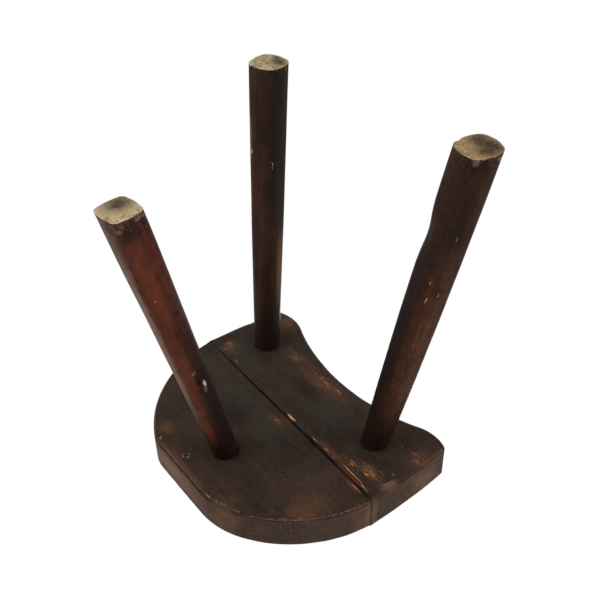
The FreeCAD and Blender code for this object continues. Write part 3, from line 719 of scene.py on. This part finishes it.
def stained_hardwood(name, leg):
    """Hardwood under a red-brown stain and old wax, with a soft sheen; painted shade darkens it below the
    seat, and grime gathers at its foot.
    """
    material = new_material(name)
    place, corner, level, red, dusty, sooty = stored(material, "corner", "level", "red", "dusty", "sooty")
    fibre = streaks(material, place, 30, 0.8, "Z", 3)
    band = streaks(material, place, 90, 7, "Z", 8)
    scratch = streaks(material, place, 12, 0.6, "Z", 17)
    blotch = clouds(material, place, 30, 5)
    grime = clouds(material, place, 8, 21)
    speck = clouds(material, place, 2, 2)

    # The stain: dark in the pores, in bands rich and red, greyed by dust with a painted sheen, and darkened
    # by painted shade.
    tone = blend(material, (blotch, 0.4), (fibre, 0.3), (band, 0.2), (speck, 0.15))
    ramp = add_node(material, "ValToRGB", {"Fac": tone})
    ramp.color_ramp.elements[0].position = 0.42
    ramp.color_ramp.elements[0].color = paint(HARDWOOD["pores"])
    ramp.color_ramp.elements[1].position = 0.66
    ramp.color_ramp.elements[1].color = paint(HARDWOOD["stain"])
    # The second tint is dust with a painted sheen.
    red_tint, dusty_tint = leg["tints"]
    rich = blend(material, (red, 0.7), (grime, 0.8), (fibre, 0.9))
    colour = layer(material, ramp.outputs["Color"], red_tint, rich, 0.95, 1.8, 1)
    # Grey-brown on one face: dust, and a painted sheen.
    dust_and_sheen_mix = blend(material, (dusty, 0.7), (grime, 0.6), (fibre, 0.9), (speck, 0.4))
    colour = layer(material, colour, dusty_tint, dust_and_sheen_mix, 1.1, 1.95, 1)
    # Painted shade, laid as bands on the faces turned from the light and near the leg's ends.
    soot = blend(material, (sooty, 0.9), (grime, 0.6), (speck, 0.2))
    colour = layer(material, colour, HARDWOOD["soot"], soot, 0.5, 1.35, 0.9)

    # The corners are rubbed pale, and painted shade darkens the neck below the seat.
    rubbed = blend(material, (corner, 0.35), (scratch, 0.8))
    colour = layer(material, colour, HARDWOOD["rubbed"], rubbed, 0.68, 0.85, 0.6)
    colour = layer(material, colour, HARDWOOD["speck"], speck, 0.63, 0.78, 0.4)
    # Painted shade: darker from 270 mm above the floor up to the seat.
    painted_neck_shade = blend(material, (level, 1), (blotch, 60))
    colour = layer(material, colour, HARDWOOD["painted_neck_shade"], painted_neck_shade, 270, 350, 0.7)

    # Floor mud and frayed bare wood edge the foot. The marks that were placed one by one come last: scuffs,
    # dark painted shade in a dent, and nicks of bare wood.
    mud = blend(material, (level, -0.02), (speck, 1.2), (grime, 1))
    colour = layer(material, colour, HARDWOOD["mud"], mud, 0.95, 1.35, leg["mud"])
    frayed = blend(material, (level, -0.16), (speck, 1.1), (fibre, 0.6))
    colour = layer(material, colour, HARDWOOD["frayed"], frayed, 0.78, 0.92, 0.9)
    # Scuffs and nicks are worn wood; the dark marks are painted shade in dents.
    for mark, ragged, most in (("scuff", 3.2, 0.55), ("hollow", 2.5, 0.85), ("nick", 1.6, 0.85)):
        marked = scars(material, place, leg[f"{mark}s"], ragged)
        colour = layer(material, colour, HARDWOOD[mark], marked, 0, 1, most)

    height = blend(material, (fibre, 1), (speck, 0.5), (scratch, -0.5))
    rough = blend(material, (speck, 0.2), (0.34, 1))
    return finish_wood(material, colour, rough, height, 0.12, 0.02)


END_GRAIN_DIRT = "#4f453a"
END_GRAIN_PORE = "#5a4b38"


def bare_end_grain(name, pith, dark, light):
    """Bare end grain under a foot: tan, ringed and porous, with floor dirt pressed into it."""
    material = new_material(name)
    place, soiled = stored(material, "soiled")
    ring = growth_rings(material, place, pith, 1.7, 4)
    pore = clouds(material, place, 0.9, 3)
    speck = clouds(material, place, 2.6, 2)
    blotch = clouds(material, place, 7, 9)
    tone = blend(material, (blotch, 0.6), (speck, 0.5), (ring, 0.02))
    ramp = add_node(material, "ValToRGB", {"Fac": tone})
    ramp.color_ramp.elements[0].position = 0.42
    ramp.color_ramp.elements[0].color = paint(dark)
    ramp.color_ramp.elements[1].position = 0.66
    ramp.color_ramp.elements[1].color = paint(light)
    dirt = blend(material, (soiled, 0.64), (blotch, 1), (speck, 0.9))
    colour = layer(material, ramp.outputs["Color"], END_GRAIN_DIRT, dirt, 1.0, 1.7, 0.9)
    colour = layer(material, colour, END_GRAIN_PORE, pore, 0.6, 0.76, 0.5)
    height = blend(material, (pore, 1), (speck, 0.8), (ring, 0.1))
    return finish_wood(material, colour, 0.8, height, 0.35, 0.05)


ON_FLOOR = 0.01
for side, leg in LEGS.items():
    piece = shaved_leg(f"leg_{side}_worn", leg)
    piece.data.materials.append(stained_hardwood(f"stained_hardwood_{side}", leg))
    piece.data.materials.append(bare_end_grain(
        f"bare_end_grain_{side}", (22, -9 + leg["seed"], None), *leg["end_grain"]))
    for face in piece.data.polygons:
        face.material_index = 1 if face.center.z < ON_FLOOR * MM else 0
    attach(piece, "root")
    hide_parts(leg["node"])

# The wedges: split hardwood driven across the grain into the slot of each tenon, which spreads it in its
# hole. Their butts are cut off a hair above the tenons, and stained and worn with the seat.


def stained_wedge():
    """Split wood under the seat's stain, its butt rubbed to brown."""
    material = new_material("stained_wedge")
    place = stored(material)[0]
    fibre = streaks(material, place, 30, 0.7, "Z", 5)
    speck = clouds(material, place, 2, 7)
    rubbed = blend(material, (fibre, 0.6), (speck, 0.6))
    colour = layer(material, paint("#2d211a"), "#5a4230", rubbed, 0.45, 0.75)
    height = blend(material, (fibre, 1), (speck, 0.5))
    return finish_wood(material, colour, 0.55, height, 0.25, 0.12)


wedge_wood = stained_wedge()
for side, leg in LEGS.items():
    stand = leg_stand(leg)
    wedge = tube(f"wedge_{side}_worn", wedge_rings(stand, 0, SEAT_TOP + 2 * TENON_PROUD), stand)
    grain, _ = read_grain(wedge.data, stand)
    store(wedge.data, grain=grain)
    wedge.data.materials.append(wedge_wood)
    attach(wedge, "root")
    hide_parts(f"tenon_wedge_{leg['node'][4:]}")

# The dowels: plain beech pins inside the boards, which carry the load across the seam. Nothing shows of
# them, so they keep their CAD shape and only get their wood.


def plain_beech():
    """Dry unstained beech."""
    material = new_material("plain_beech")
    own = add_node(material, "TexCoord").outputs["Object"]
    place = add_node(material, "Mapping", {"Vector": own, "Scale": (1 / MM,) * 3}).outputs[0]
    fibre = streaks(material, place, 30, 0.7, "Y", 5)
    colour = layer(material, paint("#a98a62"), "#c4a47a", fibre, 0.35, 0.65)
    return finish_wood(material, colour, 0.6, fibre, 0.1, 0.2)


beech = plain_beech()
for place in ("left", "middle", "right"):
    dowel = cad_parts[f"seat_dowel_{place}"]
    dowel.data.materials.clear()
    dowel.data.materials.append(beech)

# Floor, light and camera. The stool stands upright on its feet, and the camera looks up at it from below
# and rolled, which is how it is seen when it lies upside down. The floor shows from above only.
# Lengths here are metres. A lamp is the way toward it from the seat, its distance, its width and its watts.
FLOOR_REACH = 1.2
FLOOR_FADE = 0.45
FLOOR_DROP = 0.0005
WHITE = paint("#ffffff")
DIM_SKY = 0.35
SEAT_MIDDLE = Vector((0, 0, 0.25))
LAMPS = {
    "left_below": ((-0.44, 0.91, -0.56), 1.3, 0.8, 13),
    "right_below": ((0.75, -0.70, -0.40), 1.3, 0.8, 9),
    "key_above": ((-0.8, -0.9, 1.5), 1.6, 1.0, 22),
    "fill_above": ((1.2, 0.6, 1.0), 1.6, 1.2, 10),
}
CAMERA_PLACE = (0.60982, 0.41176, -0.44467)
CAMERA_RIGHT = (0.59689, -0.80225, 0.01091)
CAMERA_UP = (-0.50704, -0.38772, -0.76979)
LENS = 62.03
SENSOR_WIDTH = 36

floor_mesh = bpy.data.meshes.new("floor")
floor_mesh.from_pydata([(x * FLOOR_REACH, y * FLOOR_REACH, -FLOOR_DROP)
                        for x, y in ((-1, -1), (1, -1), (1, 1), (-1, 1))], [], [(0, 1, 2, 3)])
floor = bpy.data.objects.new("floor", floor_mesh)
bpy.context.scene.collection.objects.link(floor)
pale = new_material("pale_floor")
geometry = add_node(pale, "NewGeometry")
path = add_node(pale, "LightPath")
own = add_node(pale, "TexCoord")
away = add_node(pale, "VectorMath", {0: own.outputs["Object"]}, operation="LENGTH")
faded = add_node(pale, "MapRange", {
    "Value": away.outputs["Value"], "From Min": FLOOR_FADE, "From Max": FLOOR_REACH},
    interpolation_type="SMOOTHSTEP")
unseen = add_node(pale, "Math", {0: geometry.outputs["Backfacing"], 1: path.outputs["Is Shadow Ray"]},
                  operation="MAXIMUM")
unseen = add_node(pale, "Math", {0: unseen.outputs[0], 1: faded.outputs["Result"]}, operation="MAXIMUM")
matt = add_node(pale, "BsdfDiffuse", {"Color": paint("#f2f2f2")})
clear = add_node(pale, "BsdfTransparent")
one_sided = add_node(pale, "MixShader", {0: unseen.outputs[0], 1: matt.outputs[0], 2: clear.outputs[0]})
add_node(pale, "OutputMaterial", {"Surface": one_sided.outputs[0]})
floor_mesh.materials.append(pale)

world = bpy.data.worlds.new("studio")
bpy.context.scene.world = world
world.use_nodes = True
world.node_tree.nodes.clear()
path = add_node(world, "LightPath")
seen = add_node(world, "Math", {0: path.outputs["Is Camera Ray"], 1: path.outputs["Is Glossy Ray"]},
                operation="MAXIMUM")
seen = add_node(world, "Math", {0: seen.outputs[0], 1: path.outputs["Is Transmission Ray"]},
                operation="MAXIMUM")
white = add_node(world, "Background", {"Color": WHITE, "Strength": 1.0})
dim = add_node(world, "Background", {"Color": WHITE, "Strength": DIM_SKY})
sky = add_node(world, "MixShader", {0: seen.outputs[0], 1: dim.outputs[0], 2: white.outputs[0]})
add_node(world, "OutputWorld", {"Surface": sky.outputs[0]})

for name, (toward, distance, width, watts) in LAMPS.items():
    light = bpy.data.lights.new(name, "AREA")
    light.shape = "DISK"
    light.size = width
    light.energy = watts
    lamp = bpy.data.objects.new(name, light)
    bpy.context.scene.collection.objects.link(lamp)
    direction = Vector(toward).normalized()
    lamp.location = SEAT_MIDDLE + direction * distance
    lamp.rotation_mode = "QUATERNION"
    lamp.rotation_quaternion = direction.to_track_quat("Z", "Y")

camera = bpy.data.objects.new("camera", bpy.data.cameras.new("camera"))
bpy.context.scene.collection.objects.link(camera)
back = Vector(CAMERA_RIGHT).cross(Vector(CAMERA_UP))
turn = Matrix((CAMERA_RIGHT, CAMERA_UP, back)).transposed()
camera.matrix_world = Matrix.Translation(CAMERA_PLACE) @ turn.to_4x4()
camera.data.lens = LENS
camera.data.sensor_width = SENSOR_WIDTH
bpy.context.scene.camera = camera
bpy.context.scene.view_settings.view_transform = "Standard"
